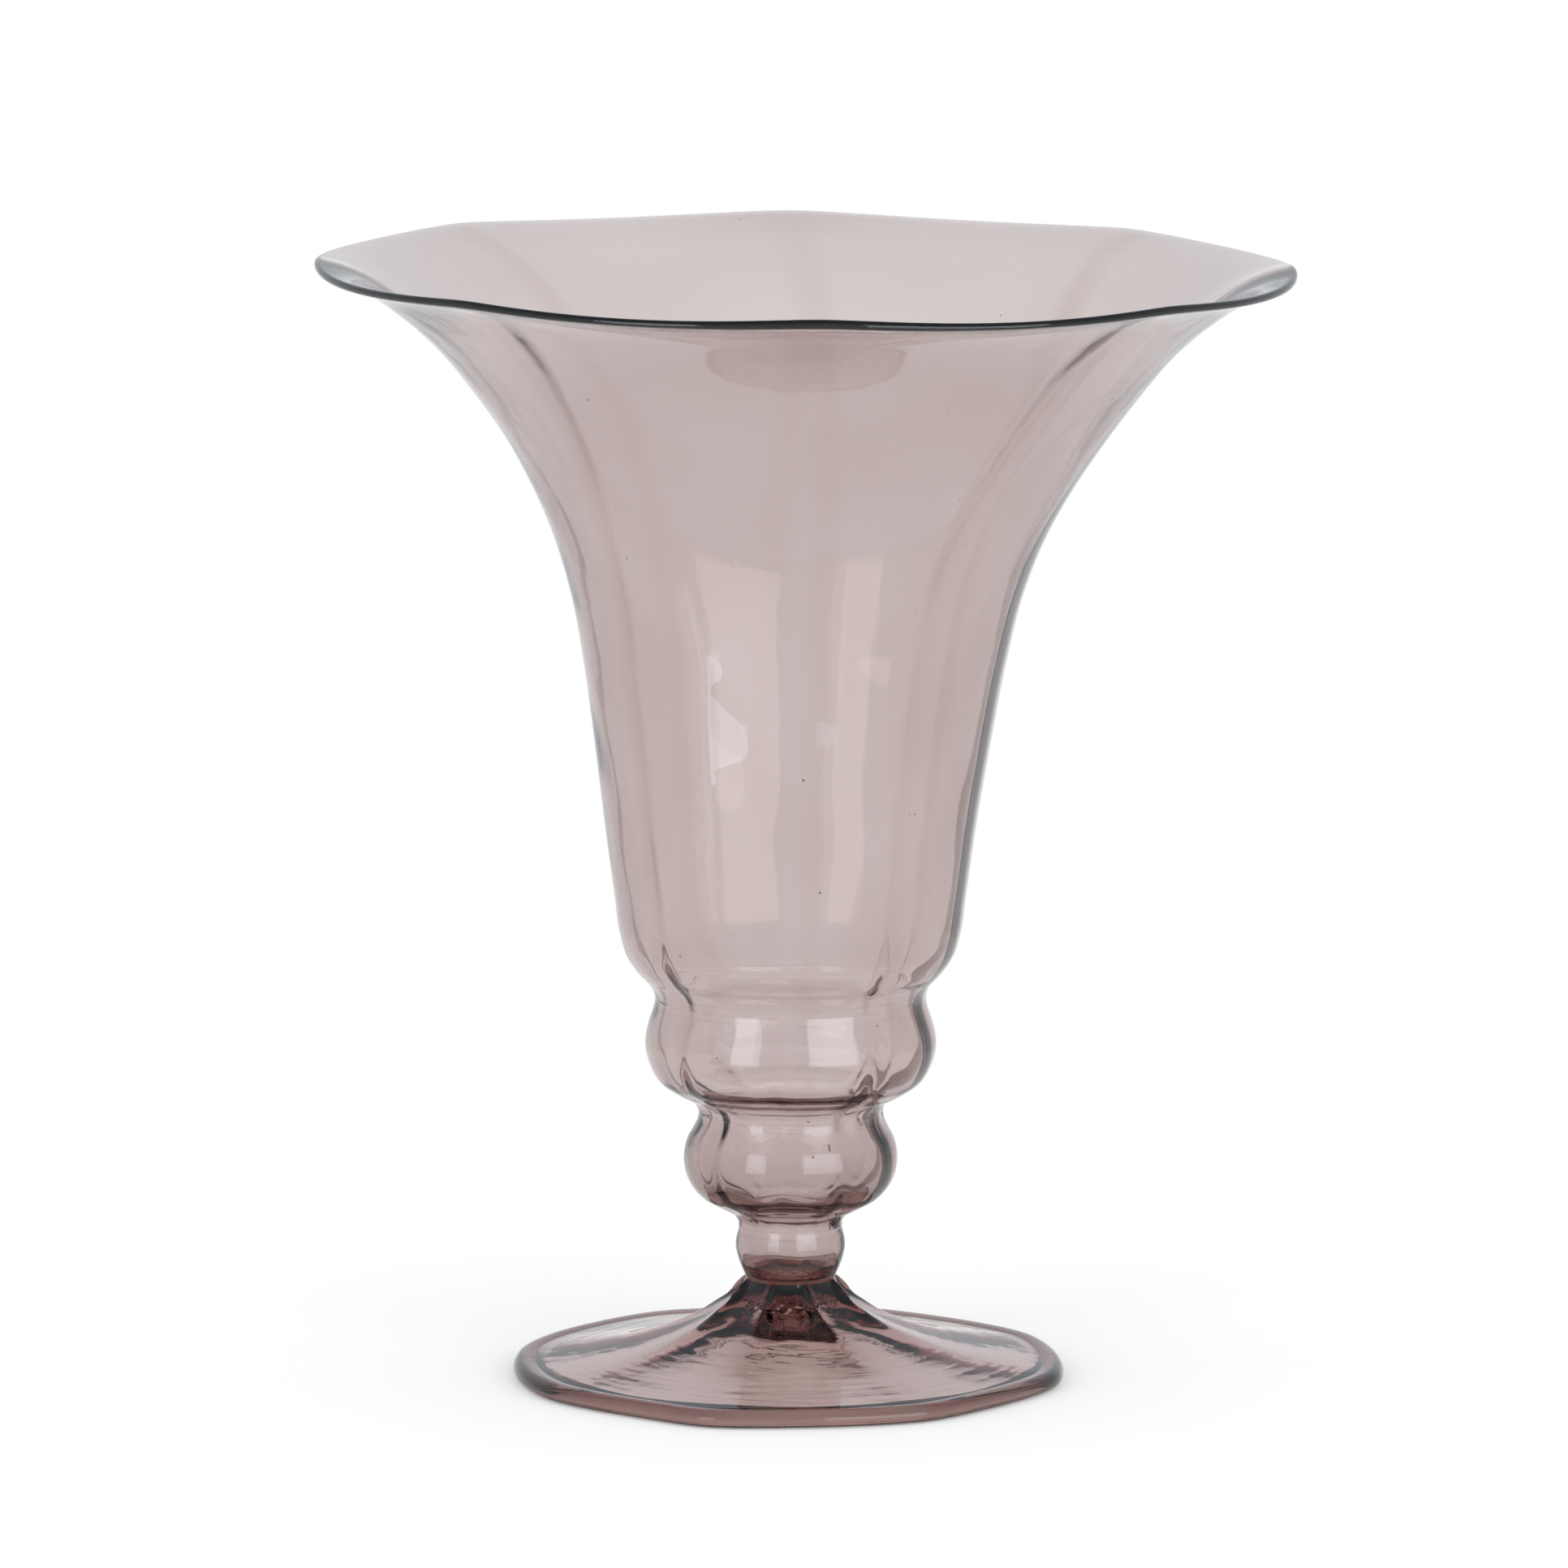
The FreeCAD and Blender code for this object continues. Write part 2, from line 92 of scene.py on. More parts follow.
def blown_glass(name, wave_mm, wave, streak_mm, streak, streak_share, jacked=(), spun=0,
                tint="c6aba7", density=250):
    """Smoky amethyst soda-lime glass, fire-polished: the tint lies in its depth.

    Its skin has slow waves and finer tool streaks, as deep as wave together. jacked gives the
    heights of the necks where the jacks cut fine rings into it, and spun how often the arcs of
    the pad that spun it break off in a turn. Where it is fused to the next piece it has no
    skin, so light goes straight on. The tint is a little browner and deeper in thick pieces.
    """
    material = bpy.data.materials.new(name)
    material.use_nodes = True
    tree = material.node_tree
    tree.nodes.clear()
    place = add(tree, "ShaderNodeTexCoord").outputs["Object"]
    slow = add(tree, "ShaderNodeTexNoise", Vector=place, Scale=1 / (wave_mm * MM), Detail=1.0)
    squash = add(tree, "ShaderNodeMapping", Vector=place, Scale=streak)
    if spun:
        flat = add(tree, "ShaderNodeVectorMath", {"operation": "MULTIPLY"}, _0=place, _1=(1, 1, 0))
        reach = add(tree, "ShaderNodeVectorMath", {"operation": "LENGTH"}, _0=flat.outputs[0])
        bearing = add(tree, "ShaderNodeVectorMath", {"operation": "NORMALIZE"}, _0=flat.outputs[0])
        turn = add(tree, "ShaderNodeVectorMath", {"operation": "SCALE"}, _0=bearing.outputs[0],
                   Scale=spun * streak_mm * MM / math.tau)
        outward = add(tree, "ShaderNodeCombineXYZ", Z=reach.outputs["Value"])
        squash = add(tree, "ShaderNodeVectorMath", {"operation": "ADD"}, _0=turn.outputs[0],
                     _1=outward.outputs[0])
    fine = add(tree, "ShaderNodeTexNoise", Vector=squash.outputs[0], Scale=1 / (streak_mm * MM),
               Detail=2.0)
    relief = add(tree, "ShaderNodeMath", {"operation": "MULTIPLY_ADD"}, _0=fine.outputs["Fac"],
                 _1=streak_share, _2=slow.outputs["Fac"])
    height = add(tree, "ShaderNodeSeparateXYZ", Vector=place).outputs["Z"]
    turned = add(tree, "ShaderNodeMapping", Vector=place, Scale=(0.04, 0.04, 1))
    rings = add(tree, "ShaderNodeTexNoise", Vector=turned.outputs[0], Scale=1 / (JACK_RING_MM * MM),
                Detail=3.0)
    for neck in jacked:
        near = add(tree, "ShaderNodeMath", {"operation": "COMPARE"}, _0=height, _1=neck * MM,
                   _2=JACK_REACH_MM * MM)
        mark = add(tree, "ShaderNodeMath", {"operation": "MULTIPLY"}, _0=near.outputs[0],
                   _1=rings.outputs["Fac"])
        relief = add(tree, "ShaderNodeMath", {"operation": "MULTIPLY_ADD"}, _0=mark.outputs[0],
                     _1=JACK_DEPTH, _2=relief.outputs[0])
    skin = add(tree, "ShaderNodeBump", Height=relief.outputs[0], Strength=1.0, Distance=wave * MM)
    grit = add(tree, "ShaderNodeTexVoronoi", Vector=place, Scale=1 / (GRIT_MM * MM))
    speck = add(tree, "ShaderNodeMath", {"operation": "LESS_THAN"}, _0=grit.outputs["Distance"],
                _1=GRIT_SIZE)
    colour = add(tree, "ShaderNodeMix", {"data_type": "RGBA"}, Factor=speck.outputs[0],
                 _6=linear("ffffff"), _7=linear("3a2c2a"))
    bend = add(tree, "ShaderNodeMath", {"operation": "MULTIPLY_ADD"}, _1=SODA_GLASS_IOR - 1, _2=1.0,
               _0=add(tree, "ShaderNodeAttribute", {"attribute_name": "skin"}).outputs["Fac"])
    surface = add(tree, "ShaderNodeBsdfPrincipled", Base_Color=colour.outputs[2], Roughness=0.0,
                  IOR=bend.outputs[0], Normal=skin.outputs[0], Transmission_Weight=1.0)
    surface.inputs["IOR"].default_value = SODA_GLASS_IOR
    depth = add(tree, "ShaderNodeVolumeAbsorption", Color=linear(tint), Density=density)
    add(tree, "ShaderNodeOutputMaterial", Surface=surface.outputs[0], Volume=depth.outputs[0])
    return material


def ring_mesh(name, rows, material, closed, fused):
    """Glass skin through rings of points, where a row of one point is a pole.

    closed joins the last ring to the first. fused has the rows after which the skin is fused
    to the next piece.
    """
    points = np.concatenate([np.atleast_2d(row) for row in rows]) * MM
    starts = np.cumsum([0] + [len(np.atleast_2d(row)) for row in rows])
    faces, skin = [], []
    pairs = list(range(len(rows) - 1)) + ([len(rows) - 1] if closed else [])
    for a in pairs:
        b = (a + 1) % len(rows)
        low, high = np.atleast_2d(rows[a]), np.atleast_2d(rows[b])
        count = max(len(low), len(high))
        here = np.arange(count)
        after = (here + 1) % count
        if len(low) == 1:
            faces += [(starts[a], starts[b] + j, starts[b] + i) for i, j in zip(here, after)]
        elif len(high) == 1:
            faces += [(starts[a] + i, starts[a] + j, starts[b]) for i, j in zip(here, after)]
        else:
            faces += [(starts[a] + i, starts[a] + j, starts[b] + j, starts[b] + i)
                      for i, j in zip(here, after)]
        skin += [0.0 if a in fused else 1.0] * count
    mesh = bpy.data.meshes.new(name)
    mesh.from_pydata(points.tolist(), [], [tuple(int(v) for v in face) for face in faces])
    mesh.polygons.foreach_set("use_smooth", [True] * len(mesh.polygons))
    mesh.set_sharp_from_angle(angle=math.radians(50))
    mesh.attributes.new("skin", "FLOAT", "FACE").data.foreach_set("value", skin)
    mesh.materials.append(material)
    piece = bpy.data.objects.new(name, mesh)
    bpy.context.collection.objects.link(piece)
    return piece


def stand(piece, node):
    """The piece is shown for its node, on the root body, in place of the node's own part."""
    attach(piece, "root")
    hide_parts(node)


def curve_through(points, step):
    """Smooth curve through rows of numbers, at even steps along its first two columns."""
    points = np.array(points, float)
    hops = np.hypot(*np.diff(points[:, :2], axis=0).T)
    at = np.concatenate([[0], np.cumsum(hops)])
    slopes = np.gradient(points, at, axis=0)
    fine = np.linspace(0, at[-1], int(at[-1] / 0.05) + 2)
    i = np.clip(np.searchsorted(at, fine, side="right") - 1, 0, len(at) - 2)
    h = (at[i + 1] - at[i])[:, None]
    t = ((fine - at[i]) / h[:, 0])[:, None]
    curve = ((1 + 2 * t) * (1 - t) ** 2 * points[i] + t * (1 - t) ** 2 * h * slopes[i]
             + t ** 2 * (3 - 2 * t) * points[i + 1] + t ** 2 * (t - 1) * h * slopes[i + 1])
    run = np.concatenate([[0], np.cumsum(np.hypot(*np.diff(curve[:, :2], axis=0).T))])
    even = np.linspace(0, run[-1], max(2, round(run[-1] / step) + 1))
    return np.stack([np.interp(even, run, column) for column in curve.T], axis=1)


def around(count):
    """Angles in degrees, evenly round the axis."""
    return np.arange(count) * 360 / count


def from_rib(angles, rib_angle):
    """Degrees from the nearest rib."""
    return (angles - rib_angle + RIB_STEP / 2) % RIB_STEP - RIB_STEP / 2


def rounded_crest(share, rounding):
    """1 at a rib and 0 half way to the next, with the tip of the crest rounded."""
    tip = np.sqrt(share ** 2 + rounding ** 2) - rounding
    return (1 - tip / (math.sqrt(1 + rounding ** 2) - rounding)) ** 2


def hem_radius(angles):
    """The edge is drawn out at the eight ribs."""
    rib = (angles - GROUND_RIB_ANGLE) % 360 / RIB_STEP
    number = rib.astype(int)
    past = rib - number
    corner = np.where(past < 0.5, np.take(hem_corners, number), np.take(hem_corners, (number + 1) % RIBS))
    side = np.take(hem_sides, number)
    return side + (corner - side) * rounded_crest(1 - np.abs(2 * past - 1), 0.25)


def ring(angles, radius, height):
    """Points of a level ring round the stem's axis, in millimetres."""
    turn = np.radians(angles)
    return np.stack([STEM_X + radius * np.cos(turn), radius * np.sin(turn), height + 0 * turn], axis=1)


# Soda-lime glass folded over and pressed: nearly smooth, and browner where it is doubled.
folded_glass = blown_glass("folded_soda_glass", 9, 0.05, 3, (1, 1, 1), 0.12,
                           tint="cdaaa3", density=320)
# Distance in from the edge and height, round the fold.
hem_fold = curve_through([
    (HEM_WIDTH + FUSED, 0.2), (HEM_WIDTH - 0.3, 0.02), (4.2, 0.0), (2.8, 0.0), (1.5, 0.14), (0.45, 0.75),
    (0.0, 1.8), (0.12, 2.7), (0.62, 3.5), (1.5, 4.1), (2.6, 4.37), (3.6, 4.38), (4.5, 4.28), (5.1, 4.16),
    (HEM_WIDTH + FUSED, 4.06)], 0.35)
hem_angles = around(320)
hem_rows = [ring(hem_angles, hem_radius(hem_angles) - inset, max(0, height)) for inset, height in hem_fold]
hem_rows += [ring(hem_angles, hem_radius(hem_angles) - HEM_WIDTH - FUSED, HEM_SEAT)]
hem = ring_mesh("foot_hem_glass", hem_rows, folded_glass, True, [len(hem_rows) - 2])
stand(hem, "foot_hem")

# Foot: a gather dropped on the knop's base and spun out on the pad, solid in its neck, with
# the optic mould's eight ridges down to the corners and a rough pontil scar below.
FOOT_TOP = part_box("foot")[1][2] / MM
NECK_RADIUS = 11.3
HOLLOW_TOP = 16.4
# Soda-lime glass spread on the turning pad: short arcs that streak what shows through it.
spread_glass = blown_glass("spread_soda_glass", 9, 0.11, 2.4, (1, 1, 1), 0.6, spun=6,
                           tint="d0a9a2", density=215)
# Height of a ridge as a share of the radius, the turn of the ridges from corner to neck in
# degrees, the height of the dart at a ridge's tip, and the ripple left by the spinning.
RIDGE = 0.075
NECK_TURN = -7.9
DART = 1.8
RIPPLE = 0.02
RIPPLE_MM = 6.1
foot_angles = around(360)
# Height, radius between two ridges and shares of the ridge, of its turn and of the sharp dart
# that the mould left at its tip, from the edge to the neck.
foot_top = curve_through([
    (4.12, 62.2, 0, 0, 0), (4.3, 60.8, 0.1, 0, 0), (4.8, 57.2, 0.35, 0, 0),
    (5.95, 50.0, 0.6, 0, 0), (7.9, 40.0, 0.8, 0.05, 0), (11.4, 29.5, 1.0, 0.2, 0),
    (14.5, 22.8, 1.0, 0.45, 0.1), (17.5, 18.0, 1.0, 0.75, 0.4), (20.1, 14.0, 1.0, 0.9, 0.8),
    (22.3, 12.3, 0.8, 1.0, 1.0), (23.7, 11.6, 0.3, 1.0, 0.85),
    (FOOT_TOP + FUSED, NECK_RADIUS, 0, 1.0, 0.4)], 0.7)
# The hollow below, from the pontil scar to the rim that the hem hides.
foot_under = curve_through([
    (HOLLOW_TOP, 0.6), (HOLLOW_TOP, 2.0), (16.5, 4.0), (16.2, 5.8), (15.6, 8.2), (14.6, 11.5),
    (12.9, 16.5), (11.0, 22.8), (8.7, 29.5), (5.9, 39.5), (4.0, 49.0), (2.8, 57.0), (2.3, 60.6)], 0.5)


def ridged(angles, radius, ridge, turn, dart):
    """Radius of a ring of the foot, drawn out to a crest at each ridge."""
    near = from_rib(angles, GROUND_RIB_ANGLE + NECK_TURN * turn)
    sharp = 0.08 + 0.3 * np.clip((radius - 16) / 30, 0, 1)
    crest = rounded_crest(np.abs(near) / (RIB_STEP / 2), sharp)
    fin = np.exp(-(np.radians(near) * radius / (0.75 + 0.13 * (radius - NECK_RADIUS))) ** 2)
    return radius * (1 + RIDGE * ridge * crest) + DART * dart * fin


def hand(angles, height, size):
    """Wander of hand-worked glass: a few slow waves round and up the vase."""
    turn = np.radians(angles)
    return size * (0.5 * np.sin(2 * turn + 0.031 * height + 1.1)
                   + 0.35 * np.sin(3 * turn - 0.045 * height + 4.2)
                   + 0.25 * np.sin(5 * turn + 0.062 * height + 2.6))


def scar(angles, radius):
    """Height of the lumps that the broken-off pontil left under the neck."""
    x, y = radius * np.cos(np.radians(angles)), radius * np.sin(np.radians(angles))
    lumps = (np.sin(1.3 * x + 0.6 * y + 0.4) + np.sin(0.9 * y - 1.5 * x + 2.0)
             + 0.5 * np.sin(2.4 * y + 0.7 * x + 1.0) + 0.4 * np.sin(3.1 * x - 1.9 * y))
    return 0.26 * lumps * np.clip((11 - radius) / 4, 0, 1)


rim_radius = hem_radius(foot_angles) - HEM_WIDTH + FUSED
foot_rows = [[(STEM_X, 0, HOLLOW_TOP + float(scar(0, 0)))]]
foot_rows += [ring(foot_angles, radius, height + scar(foot_angles, radius))
              for height, radius in foot_under]
foot_rows += [ring(foot_angles, rim_radius - 0.4, HEM_SEAT - 0.15),
              ring(foot_angles, rim_radius, HEM_SEAT)]
seams = [len(foot_rows) - 1]
foot_rows += [ring(foot_angles, rim_radius, 4.04)]
for height, radius, ridge, turn, dart in foot_top:
    spread = np.clip((radius - 45) / (62.2 - 45), 0, 1) ** 2
    reach = ridged(foot_angles, radius, ridge, turn, dart)
    wander = hand(foot_angles, 4 * radius, 4)
    ripple = RIPPLE * (np.sin(math.tau * radius / RIPPLE_MM + wander)
                       + 0.6 * np.sin(4.4 * radius ** 0.8 - wander))
    fade = np.clip((61 - radius) / 6, 0, 1) * np.clip((radius - 14) / 6, 0, 1)
    foot_rows.append(ring(foot_angles, reach + spread * (rim_radius - 0.4 - 62.2),
                          height + ripple * fade))
seams += range(len(foot_rows) - 1, len(foot_rows) + 3)
foot_rows += [ring(foot_angles, NECK_RADIUS * share, FOOT_TOP + FUSED) for share in (0.96, 0.75, 0.4)]
foot_rows += [[(STEM_X, 0, FOOT_TOP + FUSED)]]
foot = ring_mesh("foot_glass", foot_rows, spread_glass, False, seams)
stand(foot, "foot")

# Stem knop: a small bubble left between foot and bulbs, jacked in above and below. Its floor
# is thin, and the foot's solid neck closes it.
WALL = 2.3
KNOP_FLOOR = 0.7
KNOP_BASE = 11.2
knop_low, knop_high = (corner[2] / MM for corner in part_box("stem_knop"))
# Soda-lime glass pinched by the jacks: clear, with a few fine rings at its neck.
knop_glass = blown_glass("jacked_soda_glass", 8, 0.05, 2, (1, 1, 1), 0.12, (knop_high,))
knop_angles = around(224)
# Height above the foot and radius.
knop_out = curve_through([
    (-FUSED, KNOP_BASE), (0.7, 11.35), (3.3, 12.42), (6.3, 13.37), (8.8, 13.69), (11.0, 13.35), (12.4, 12.95),
    (13.2 + FUSED, 12.88)], 0.5)
knop_in = curve_through([
    (13.2 + FUSED, 10.08), (11.8, 10.2), (9.8, 10.7), (7.6, 10.6), (5.7, 10.0), (4.2, 9.3),
    (2.9, 8.4), (1.8, 7.3), (1.1, 5.8), (0.8, 3.4), (KNOP_FLOOR, 0.8)], 0.5)
knop_rows = [[(STEM_X, 0, knop_low - FUSED)]]
knop_rows += [ring(knop_angles, KNOP_BASE * share, knop_low - FUSED) for share in (0.4, 0.75, 0.96)]
knop_rows += [ring(knop_angles, radius, knop_low + height) for height, radius in knop_out]
seams = [0, 1, 2, 3, len(knop_rows) - 1]
knop_rows += [ring(knop_angles, radius + hand(knop_angles, 3 * height, 0.25), knop_low + height)
              for height, radius in knop_in]
knop_rows += [[(STEM_X, 0, knop_low + KNOP_FLOOR)]]
knop = ring_mesh("stem_knop_glass", knop_rows, knop_glass, False, seams)
stand(knop, "stem_knop")

# Lower bulb: the smaller hollow melon bulb, blown in the eight-ribbed optic mould. The ribs
# pull its skin in underneath, and swell its wall inside. One rib came out much the thickest.
bulb_low, bulb_high = (corner[2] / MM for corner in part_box("lower_bulb"))
# Soda-lime glass blown in the optic mould: slow waves, and streaks drawn out along the ribs.
lower_glass = blown_glass("optic_blown_soda_glass", 14, 0.07, 2.5, (1, 1, 0.25), 0.12,
                          (bulb_low, bulb_high))
# Depth of a full crease outside, half the width of its sharp middle, and where the ribs lie.
CREASE = 1.3
DENT_MM = 2.4
RIB_ANGLE = 37.5
# How far the hand lets the outer and the inner skin wander.
OUTER_WANDER = 0.22
INNER_WANDER = 0.12
# How far each rib swells inward and half its width, in millimetres, from the first rib round.
rib_swell = [0.5, 0.3, 0.35, 0.5, 0.35, 0.15, 0.35, 2.1]
rib_spread = [5.5, 5.5, 5.5, 5.5, 5.5, 5.5, 5.5, 9.5]


def walls(outline, low, count, ends, step):
    """Rows of the outer and the inner skin of a blown wall.

    outline has height over low, radius, crease, rib, turn, lean and wall at each station;
    ends says whether the bottom and the top are flat seams, where the wall is cut level.
    """
    rows = curve_through(outline, step)
    angles = around(count)
    run = np.concatenate([[0], np.cumsum(np.hypot(*np.diff(rows[:, :2], axis=0).T))])
    along = np.gradient(rows[:, :2], run, axis=0)
    along /= np.hypot(*along.T)[:, None]
    outer, inner = [], []
    for (height, radius, crease, rib, turn, lean, wall), (up, out), here in zip(rows, along, run):
        level = min([1] + [abs(here - run[end]) / 4 for end, flat in zip((0, -1), ends) if flat])
        normal = np.array([up, -out * level])
        normal /= np.hypot(*normal)
        near = from_rib(angles, RIB_ANGLE + turn)
        number = np.round((angles - near - RIB_ANGLE - turn) / RIB_STEP).astype(int) % RIBS
        aside = np.radians(np.abs(near)) * radius
        dent = 0.5 * rounded_crest(np.abs(near) / (RIB_STEP / 2), 0.4) + 0.5 * np.exp(-(aside / DENT_MM) ** 2)
        skin = radius - CREASE * crease * dent + hand(angles, low + height, OUTER_WANDER)
        # A rib widens with the flare, and the spinning evens it out towards the lip.
        half = np.take(rib_spread, number) * (1 + 0.01 * max(0, radius - 45))
        bulge = np.cos(np.clip(aside / half, 0, 1) * math.pi / 2) ** 2
        most = 2.5 - 0.017 * max(0, low + height - 150)
        swell = np.minimum(np.take(rib_swell, number) * rib, most)
        thick = wall + swell * bulge + hand(angles * 2, (low + height) * 3, INNER_WANDER)
        outer.append((angles, skin, low + height + 0 * skin, lean))
        inner.append((angles, skin - thick * normal[0], low + height - thick * normal[1], lean))
    return outer, inner, along


# The mouth's centre leans to the axis of the frame, and the mouth tilts by this many degrees.
TILT = 0.66


def placed(row):
    """Points of a ring, leaned and tilted with the bowl."""
    angles, radius, height, lean = row
    turn = np.radians(angles)
    x = radius * np.cos(turn)
    z = height - x * math.tan(math.radians(TILT)) * lean
    return np.stack([STEM_X * (1 - lean) + x, radius * np.sin(turn), z], axis=1)


lower_outline = [
    (-FUSED, 12.88, 0.0, 0.2, 0, 0, 2.8), (1.2, 13.0, 0.1, 0.3, 0, 0, 2.9), (2.6, 13.9, 0.3, 0.6, 0, 0, 3.1),
    (5.1, 18.11, 0.45, 0.8, 0, 0, 3.3), (7.6, 22.32, 0.3, 0.8, 0, 0, 3.3), (11.1, 25.18, 0.1, 0.8, 0, 0, 3.2),
    (16.6, 26.68, 0.03, 1.0, 0, 0, 3.0), (22.1, 25.84, 0.05, 1.1, 0, 0, 2.7),
    (25.6, 24.07, 0.2, 1.3, 0, 0, 2.5), (27.8, 23.3, 0.4, 1.4, 0, 0, WALL),
    (28.9 + FUSED, 23.25, 0.5, 1.4, 0, 0, WALL)]
outer, inner, _ = walls(lower_outline, bulb_low, 288, (True, True), 0.8)
lower_rows = [placed(row) for row in outer + inner[::-1]]
lower = ring_mesh("lower_bulb_glass", lower_rows, lower_glass, True,
                  [len(outer) - 1, len(lower_rows) - 1])
stand(lower, "lower_bulb")

# Upper bulb: the larger melon bulb, blown with the same ribs, its neck pinched in by the
# jacks just below the bowl.
bulb_low, bulb_high = (corner[2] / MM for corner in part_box("upper_bulb"))
# The same glass jacked below and above: fine rings at both necks, the broad bulb clear.
upper_glass = blown_glass("twice_jacked_soda_glass", 14, 0.07, 2.5, (1, 1, 0.25), 0.12,
                          (bulb_low, bulb_high))
# Height, radius, crease and rib: it has an even wall, and stands straight.
upper_outline = [
    (-FUSED, 23.25, 0.5, 1.4), (1.1, 23.5, 0.55, 1.3), (2.7, 24.66, 0.6, 1.2), (5.4, 29.3, 0.6, 1.2),
    (8.2, 33.13, 0.35, 1.2), (12.2, 35.35, 0.1, 1.2), (17.7, 36.38, 0.03, 1.2),
    (22.7, 35.46, 0.02, 1.2), (26.0, 34.41, 0.04, 1.2), (27.9, 33.95, 0.08, 1.1),
    (28.9 + FUSED, 33.92, 0.15, 1.1)]
outer, inner, _ = walls([row + (0, 0, WALL) for row in upper_outline], bulb_low, 320,
                        (True, True), 0.9)
upper_rows = [placed(row) for row in outer + inner[::-1]]
upper = ring_mesh("upper_bulb_glass", upper_rows, upper_glass, True,
                  [len(outer) - 1, len(upper_rows) - 1])
stand(upper, "upper_bulb")

# Trumpet bowl: the main bubble, its ribs twisted a little as the mouth was spun open. The
# lip was melted round in the fire, which left a bead of glass along it.
bowl_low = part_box("trumpet_bowl")[0][2] / MM
# Soda-lime glass blown thin and spun open: the palest of the pieces, with slow broad waves.
bowl_glass = blown_glass("spun_soda_glass", 16, 0.07, 2.5, (1, 1, 0.25), 0.12, (bowl_low,))
# How far the lip hangs between two ribs, and the turn of its ribs in degrees.
RIM_DIP = 1.1
RIM_TURN = 9.2
bowl_outline = [
    (-FUSED, 33.92, 0.15, 1.1, 0, 0, 2.3), (1.2, 34.15, 0.25, 1, 0, 0, 2.3), (3.3, 35.22, 0.45, 1, 0, 0, 2.3),
    (6.8, 38.34, 0.4, 1, 0, 0, 2.3), (10.8, 40.94, 0.12, 1, 0, 0, 2.3), (15.8, 42.45, 0.04, 1, 0, 0, 2.3),
    (25.8, 43.89, 0.02, 1, 0, 0.02, 2.3), (43.8, 46.31, 0.02, 1, 0, 0.05, 2.3),
    (63.8, 49.19, 0.02, 1, 0, 0.15, 2.3), (83.8, 52.33, 0.02, 1, 0, 0.26, 2.3),
    (101.8, 56.1, 0.03, 1, 0.5, 0.4, 2.3), (115.8, 60.84, 0.04, 1, 1.0, 0.57, 2.3),
    (127.8, 66.6, 0.03, 1, 2.0, 0.76, 2.35), (139.8, 73.76, 0.03, 1.1, 3.3, 0.95, 2.35),
    (151.8, 82.45, 0.04, 1.2, 4.9, 1, 2.35), (162.8, 91.6, 0.1, 1.2, 6.3, 1, 2.35),
    (171.8, 101.8, 0.25, 0.9, 7.7, 1, 2.35), (178.4, 111.4, 0.15, 0.5, 8.6, 1, 2.3),
    (180.85, 117.6, 0.05, 0.3, 9.0, 1, 2.2), (181.6, 120.6, 0.0, 0.1, RIM_TURN, 1, 2.1)]
outer, inner, along = walls(bowl_outline, bowl_low, 384, (True, False), 1.1)


def waved(row):
    """The lip rises at the ribs and hangs between them, and so does the flare below it."""
    angles, radius, height, lean = row
    share = np.clip((height - bowl_low - 165.8) / 17.6, 0, 1) ** 2
    near = np.abs(from_rib(angles, RIB_ANGLE + RIM_TURN)) / (RIB_STEP / 2)
    return angles, radius, height - RIM_DIP * share * (1 - rounded_crest(near, 0.2)), lean


# The bead: half a round from the outer skin over to the inner one.
bead = []
(angles, out_radius, out_height, lean), (_, in_radius, in_height, _) = outer[-1], inner[-1]
up, out = along[-1]
for step in np.radians(np.arange(15, 180, 15)):
    near, far = (1 + math.cos(step)) / 2, (1 - math.cos(step)) / 2
    half = np.hypot(out_radius - in_radius, out_height - in_height) / 2
    bead.append((angles, near * out_radius + far * in_radius + math.sin(step) * half * out,
                 near * out_height + far * in_height + math.sin(step) * half * up, lean))
bowl_rows = [placed(waved(row)) for row in outer + bead + inner[::-1]]
bowl = ring_mesh("trumpet_bowl_glass", bowl_rows, bowl_glass, True, [len(bowl_rows) - 1])
stand(bowl, "trumpet_bowl")

# Studio: a round board of matt white paint under the vase, two window-like soft boxes in
# front and a room that is bright behind, dimmer above the horizon and dark overhead.
BOARD_RADIUS = 0.42
BOARD_LOW = 0.0001
WINDOW_AWAY = 1.7
WINDOW_TALL = 2.0
WINDOW_MIDDLE = -0.02
WINDOW_GLOW = 2.35
scene = bpy.context.scene
scene.view_settings.view_transform = "Standard"
scene.cycles.max_bounces = 32
scene.cycles.transmission_bounces = 32
scene.cycles.glossy_bounces = 16


def seen_rays(tree):
    """1 for the rays that show a background: camera, glossy and transmitted. And the node."""
    path = add(tree, "ShaderNodeLightPath")
    first = add(tree, "ShaderNodeMath", {"operation": "MAXIMUM"}, _0=path.outputs["Is Camera Ray"],
                _1=path.outputs["Is Glossy Ray"])
    both = add(tree, "ShaderNodeMath", {"operation": "MAXIMUM"}, _0=first.outputs[0],
               _1=path.outputs["Is Transmission Ray"])
    return both.outputs[0], path


# Matt white paint: no gloss, and lifted to near white where it is looked at. Under the foot it carries a
# painted pool of warm light.
board = bpy.data.materials.new("matt_board_with_painted_light_pool")
board.use_nodes = True
tree = board.node_tree
tree.nodes.clear()
seen, path = seen_rays(tree)
paint = add(tree, "ShaderNodeBsdfDiffuse", Color=linear("efefef"))
lift = add(tree, "ShaderNodeMath", {"operation": "MULTIPLY"}, _0=seen, _1=0.10)
lift = add(tree, "ShaderNodeMath", {"operation": "MULTIPLY_ADD"}, _0=path.outputs["Is Camera Ray"], _1=0.07,
           _2=lift.outputs[0])
glow = add(tree, "ShaderNodeEmission", Color=linear("ffffff"), Strength=lift.outputs[0])
both = add(tree, "ShaderNodeAddShader", _0=paint.outputs[0], _1=glow.outputs[0])
